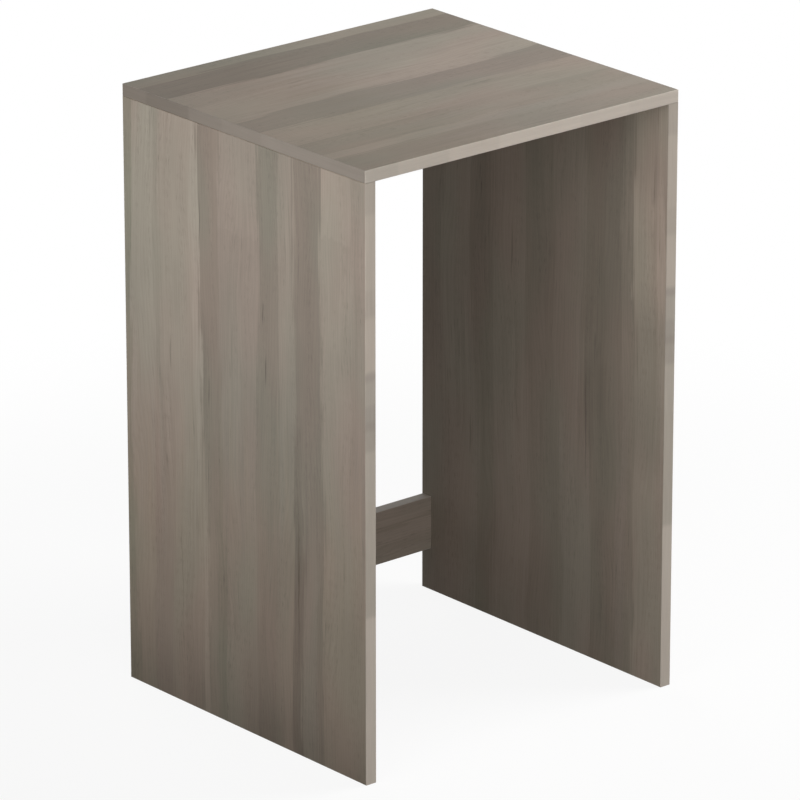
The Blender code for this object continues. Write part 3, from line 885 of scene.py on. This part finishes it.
class DecorSettings(bpy.types.PropertyGroup):
    """The oak print on the boards and their edging."""

    oak: colour_field("Oak", "Middle tone of the print", (0.298, 0.255, 0.212))
    warm: tint_field("Warm", "Tint of the warmest places", (1.030, 0.990, 0.985))
    cool: tint_field("Cool", "Tint of the coolest places", (0.972, 1.004, 0.985))
    edging: colour_field("Edging", "Middle tone of the edging", (0.385, 0.338, 0.292))
    chipboard: colour_field("Chipboard", "Core of the boards, seen in their bores", (0.46, 0.35, 0.23))
    paper: length_field("Paper", "Thickness of the printed paper", 0.00015)
    wander: length_field("Wander", "How far the grain strays from a straight line", 0.065)
    feather: length_field("Feather", "How far streaks reach over from one stave to the next", 0.036)
    rings: field("Rings", "Growth rings in a metre across the grain", 150, min=0)
    streaks: share_field("Streaks", "Contrast of the long streaks", 0.24)
    clouds: share_field("Clouds", "Contrast of the soft clouds", 0.24)
    flecks: share_field("Flecks", "How dark the short flecks are", 0.14)
    fibres: share_field("Fibres", "Contrast of the fine fibres", 0.16)
    late_wood: share_field("Late wood", "How dark the late wood of a ring is", 0.05)
    pores: share_field("Pores", "How dark the pores are", 0.22)
    relief: length_field("Relief", "Depth of the embossed grain", 0.00009)
    roughness: share_field("Roughness", "Roughness of the boards", 0.62)
    edging_roughness: share_field("Edging roughness", "Roughness of the edging", 0.50)
    sheen: share_field("Sheen", "Specular level of the melamine", 0.20)
    end_tone: field("End tone", "Tone of the edging on the top's ends", 0.74, min=0)
    front_lift: field("Front lift", "How much lighter the top's front edging is", 1.20, min=0)


class FastenerSettings(bpy.types.PropertyGroup):
    """The cam fittings, their caps and the dowels."""

    zinc: colour_field("Zinc", "Colour of the cam locks", (0.52, 0.52, 0.53))
    zinc_roughness: share_field("Zinc roughness", "Roughness of the cam locks", 0.42)
    steel: colour_field("Steel", "Colour of the cam bolts", (0.62, 0.62, 0.60))
    steel_roughness: share_field("Steel roughness", "Roughness of the cam bolts", 0.28)
    beech: colour_field("Beech", "Colour of the dowels", (0.56, 0.40, 0.25))
    pitch: length_field("Pitch", "Height of one turn of the bolts' thread", 0.00275, least=0.001)
    flutes: bpy.props.IntProperty(name="Flutes", description="Grooves round a dowel", default=18, min=6)
    flute_depth: length_field("Flute depth", "Depth of a dowel's grooves", 0.00025)
    dome: length_field("Dome", "How far a cap's middle stands above its rim", 0.0003)
    easing: length_field("Easing", "How far sharp corners are cut back", 0.00012)


class StudioSettings(bpy.types.PropertyGroup):
    """The floor, lamps, background and camera."""

    azimuth: angle_field("Azimuth", "How far round from the front the camera stands", -40.455)
    elevation: angle_field("Elevation", "How far above the horizon the camera stands", 19.796)
    distance: length_field("Distance", "From the camera to the middle of the cabinet", 11.383, least=1)
    lens: field("Lens", "Focal length", 299.2, unit="CAMERA", min=10)
    lowered: length_field("Lowered", "How far below the cabinet's middle the camera aims", 0.0201, least=-1)
    key_power: power_field("Key", "Gridded softbox close on the left", 6)
    front_power: power_field("Front", "Wide softbox in front", 77)
    overhead_power: power_field("Overhead", "Softbox high on the right", 73)
    rear_power: power_field("Rear", "Wide softbox behind", 55)
    bay_power: power_field("Bay", "Softbox on the floor between the sides", 0.15)
    fill: share_field("Fill", "Light from all round", 0.10)
    floor: colour_field("Floor", "Colour of the floor", (0.80, 0.80, 0.79))
    bounce: share_field("Bounce", "Share of its light that the floor throws back up", 0.08)
    floor_glow: share_field("Floor glow", "Share of the floor's white that no shadow falls on", 0.90)
    shadow_reach: length_field("Shadow reach", "How far from the cabinet the floor turns plain white", 2.0)


class DressBoards(bpy.types.Operator):
    """Put the oak print on the top, the sides and the rails"""

    bl_idname = "cabinet.dress_boards"
    bl_label = "Dress Boards"

    def execute(self, context):
        look = context.scene.cabinet_decor
        for name, board in BOARDS.items():
            wear(decor_on_chipboard(board, look), name)
        return {"FINISHED"}


class DressEdging(bpy.types.Operator):
    """Put the printed edging on every edged board"""

    bl_idname = "cabinet.dress_edging"
    bl_label = "Dress Edging"

    def execute(self, context):
        look = context.scene.cabinet_decor
        top = BOARDS["top_panel"]
        ends = edging_with_print("oak_edging_top_ends", top, look, TOP_END_PRINT, Y, look.end_tone)
        wear(ends, "top_left_edging", "top_right_edging")
        front = edging_with_print("oak_edging_top_front", top, look, TOP_EDGE_PRINT, X, look.front_lift)
        wear(front, "top_front_edging", "top_rear_edging")
        for side in ("left", "right"):
            board = BOARDS[f"{side}_side_panel"]
            upright = edging_with_print(f"oak_edging_{side}_side", board, look, SIDE_EDGE_PRINT_WITH_PAINTED_LIGHT, Z)
            wear(upright, f"{side}_side_front_edging", f"{side}_side_rear_edging")
            foot = edging_like_board(f"oak_edging_{side}_foot", board, look)
            wear(foot, f"{side}_side_foot_edging")
        for rail in ("upper_rail", "lower_rail"):
            edge = edging_with_print(f"oak_edging_{rail}", BOARDS[rail], look, TOP_EDGE_PRINT, X)
            wear(edge, *[name for name in NODES if name.startswith(rail) and name.endswith("edging")])
        return {"FINISHED"}


class MakeCamLocks(bpy.types.Operator):
    """Make the cast cam locks, which turn on their joints"""

    bl_idname = "cabinet.make_cam_locks"
    bl_label = "Make Cam Locks"

    def execute(self, context):
        look = context.scene.cabinet_fasteners
        mesh = cam_lock_mesh(look)
        mesh.materials.append(cast_zinc(look))
        for spot in CAM_SPOTS:
            stand_in_for(f"{spot.name}_cam_lock", mesh, spot.lock_place, spot.body, "cast_zinc")
        return {"FINISHED"}


class MakeCamBolts(bpy.types.Operator):
    """Make the threaded cam bolts"""

    bl_idname = "cabinet.make_cam_bolts"
    bl_label = "Make Cam Bolts"

    def execute(self, context):
        look = context.scene.cabinet_fasteners
        mesh = cam_bolt_mesh(look)
        mesh.materials.append(plated_steel(look))
        for spot in CAM_SPOTS:
            stand_in_for(f"{spot.name}_cam_bolt", mesh, spot.bolt_place, CARCASS, "plated_steel")
        return {"FINISHED"}


class MakeCoverCaps(bpy.types.Operator):
    """Make the caps over the cam locks in the sides"""

    bl_idname = "cabinet.make_cover_caps"
    bl_label = "Make Cover Caps"

    def execute(self, context):
        cap = cover_cap_mesh(context.scene.cabinet_fasteners)
        for side in ("left", "right"):
            material = cap_plastic(side, context.scene.cabinet_decor)
            for spot in [one for one in CAM_SPOTS if one.name.startswith(side)]:
                mesh = cap.copy()
                mesh.transform(spot.lock_place)
                mesh.materials.append(material)
                stand_in_for(f"{spot.name}_cover_cap", mesh, Matrix(), spot.body, "cap_plastic")
        return {"FINISHED"}


class MakeDowels(bpy.types.Operator):
    """Make the fluted dowels"""

    bl_idname = "cabinet.make_dowels"
    bl_label = "Make Dowels"

    def execute(self, context):
        look = context.scene.cabinet_fasteners
        mesh = dowel_mesh(look)
        mesh.materials.append(beech(look))
        for node in [name for name in NODES if name.endswith("_dowel")]:
            low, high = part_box(node)
            along = Vector([float(size > DOWEL_HALF_LENGTH) for size in high - low])
            place = frame_at((low + high) / 2, Vector((0, 1, 0)), along)
            stand_in_for(node, mesh, place, CARCASS, "beech")
        return {"FINISHED"}


class SetUpStudio(bpy.types.Operator):
    """Set up the floor, the lamps, the background and the camera"""

    bl_idname = "cabinet.set_up_studio"
    bl_label = "Set Up Studio"

    def execute(self, context):
        studio = context.scene.cabinet_studio
        context.scene.view_settings.view_transform = "Standard"
        self.lay_floor(studio)
        self.light_background(context.scene, studio)
        for name, place, target, size, spread in SOFTBOXES:
            self.hang_softbox(name, place, target, size, spread, getattr(studio, f"{name}_power"))
        self.stand_camera(context.scene, studio)
        return {"FINISHED"}

    def lay_floor(self, studio):
        shape = bmesh.new()
        bmesh.ops.create_grid(shape, x_segments=1, y_segments=1, size=FLOOR_REACH)
        floor = object_from(shape, "floor")
        floor.location.z = -FLOOR_GAP
        floor.data.materials.append(self.floor_paint(studio))

    def floor_paint(self, studio):
        """Matt paint, near white to the camera, that keeps the cabinet's shadow. It is clear from below."""
        paint = Finish("floor_paint")
        seen = paint.ray("Camera")
        paint.shade({
            "Base Color": paint.blend(seen, [studio.bounce] * 3, studio.floor),
            "Roughness": FLOOR_ROUGHNESS,
            "Specular IOR Level": FLOOR_SHEEN,
        })
        matt = Link(paint, paint.shader.outputs[0])
        glow = paint.node("ShaderNodeEmission", inputs={"Color": (1, 1, 1), "Strength": 1.0})
        x, y, _ = paint.x_y_z
        far = (x * x + y * y).math("SQRT").rise(studio.shadow_reach / 2, studio.shadow_reach)
        mask = seen * (far * (1 - studio.floor_glow) + studio.floor_glow)
        lit = paint.node("ShaderNodeMixShader", inputs={0: mask, 1: matt, 2: glow})
        below = seen * paint.node("ShaderNodeNewGeometry", output="Backfacing")
        clear = paint.node("ShaderNodeBsdfTransparent")
        mixed = paint.node("ShaderNodeMixShader", inputs={0: below, 1: lit, 2: clear})
        output = paint.tree.nodes["Material Output"]
        paint.tree.links.new(mixed.socket, output.inputs["Surface"])
        return paint.material

    def light_background(self, scene, studio):
        """White to the camera and in reflections, and dim on matt surfaces."""
        world = bpy.data.worlds.new("studio")
        scene.world = world
        nodes = Nodes(world)
        seen = nodes.ray("Camera").larger(nodes.ray("Glossy")).larger(nodes.ray("Transmission"))
        background = nodes.tree.nodes["Background"].inputs
        nodes.feed(background["Color"], (1, 1, 1))
        nodes.feed(background["Strength"], seen * (1 - studio.fill) + studio.fill)

    def hang_softbox(self, name, place, target, size, spread, power):
        lamp = bpy.data.lights.new(f"{name}_softbox", "AREA")
        lamp.shape = "RECTANGLE"
        lamp.size, lamp.size_y = size
        lamp.spread = math.radians(spread)
        lamp.energy = power
        softbox = object_of(f"{name}_softbox", lamp)
        softbox.location = place
        softbox.visible_camera = False
        softbox.rotation_euler = (Vector(target) - Vector(place)).to_track_quat("-Z", "Y").to_euler()

    def stand_camera(self, scene, studio):
        level = math.cos(studio.elevation)
        round_x, round_y = math.sin(studio.azimuth) * level, -math.cos(studio.azimuth) * level
        back = Vector((round_x, round_y, math.sin(studio.elevation)))
        turn = (-back).to_track_quat("-Z", "Y")
        low, high = CAD_BOX
        aim = (low + high) / 2 - turn @ Vector((0, 1, 0)) * studio.lowered
        view = bpy.data.cameras.new("studio_camera")
        view.lens = studio.lens
        view.clip_end = VIEW_REACH
        camera = object_of("studio_camera", view)
        camera.location = aim + back * studio.distance
        camera.rotation_euler = turn.to_euler()
        scene.camera = camera


class CabinetPanel(bpy.types.Panel):
    """The cabinet's operators and settings"""

    bl_idname = "CABINET_PT_finishes"
    bl_label = "Washing Machine Cabinet"
    bl_space_type = "VIEW_3D"
    bl_region_type = "UI"
    bl_category = "Cabinet"

    def draw(self, context):
        for operator in OPERATORS:
            self.layout.operator(operator.bl_idname)
        for group in SETTINGS:
            settings = getattr(context.scene, group)
            box = self.layout.box()
            for name in settings.__annotations__:
                box.prop(settings, name)


OPERATORS = (
    DressBoards, DressEdging, MakeCamLocks, MakeCamBolts, MakeCoverCaps, MakeDowels, SetUpStudio,
)
SETTINGS = {
    "cabinet_decor": DecorSettings,
    "cabinet_fasteners": FastenerSettings,
    "cabinet_studio": StudioSettings,
}


def register():
    for group, settings in SETTINGS.items():
        bpy.utils.register_class(settings)
        setattr(bpy.types.Scene, group, bpy.props.PointerProperty(type=settings))
    for one in (*OPERATORS, CabinetPanel):
        bpy.utils.register_class(one)


def unregister():
    for one in (CabinetPanel, *reversed(OPERATORS)):
        bpy.utils.unregister_class(one)
    for group, settings in reversed(SETTINGS.items()):
        delattr(bpy.types.Scene, group)
        bpy.utils.unregister_class(settings)


def main():
    register()
    bpy.ops.cabinet.dress_boards()
    bpy.ops.cabinet.dress_edging()
    bpy.ops.cabinet.make_cam_locks()
    bpy.ops.cabinet.make_cam_bolts()
    bpy.ops.cabinet.make_cover_caps()
    bpy.ops.cabinet.make_dowels()
    bpy.ops.cabinet.set_up_studio()


if __name__ == "__main__":
    main()
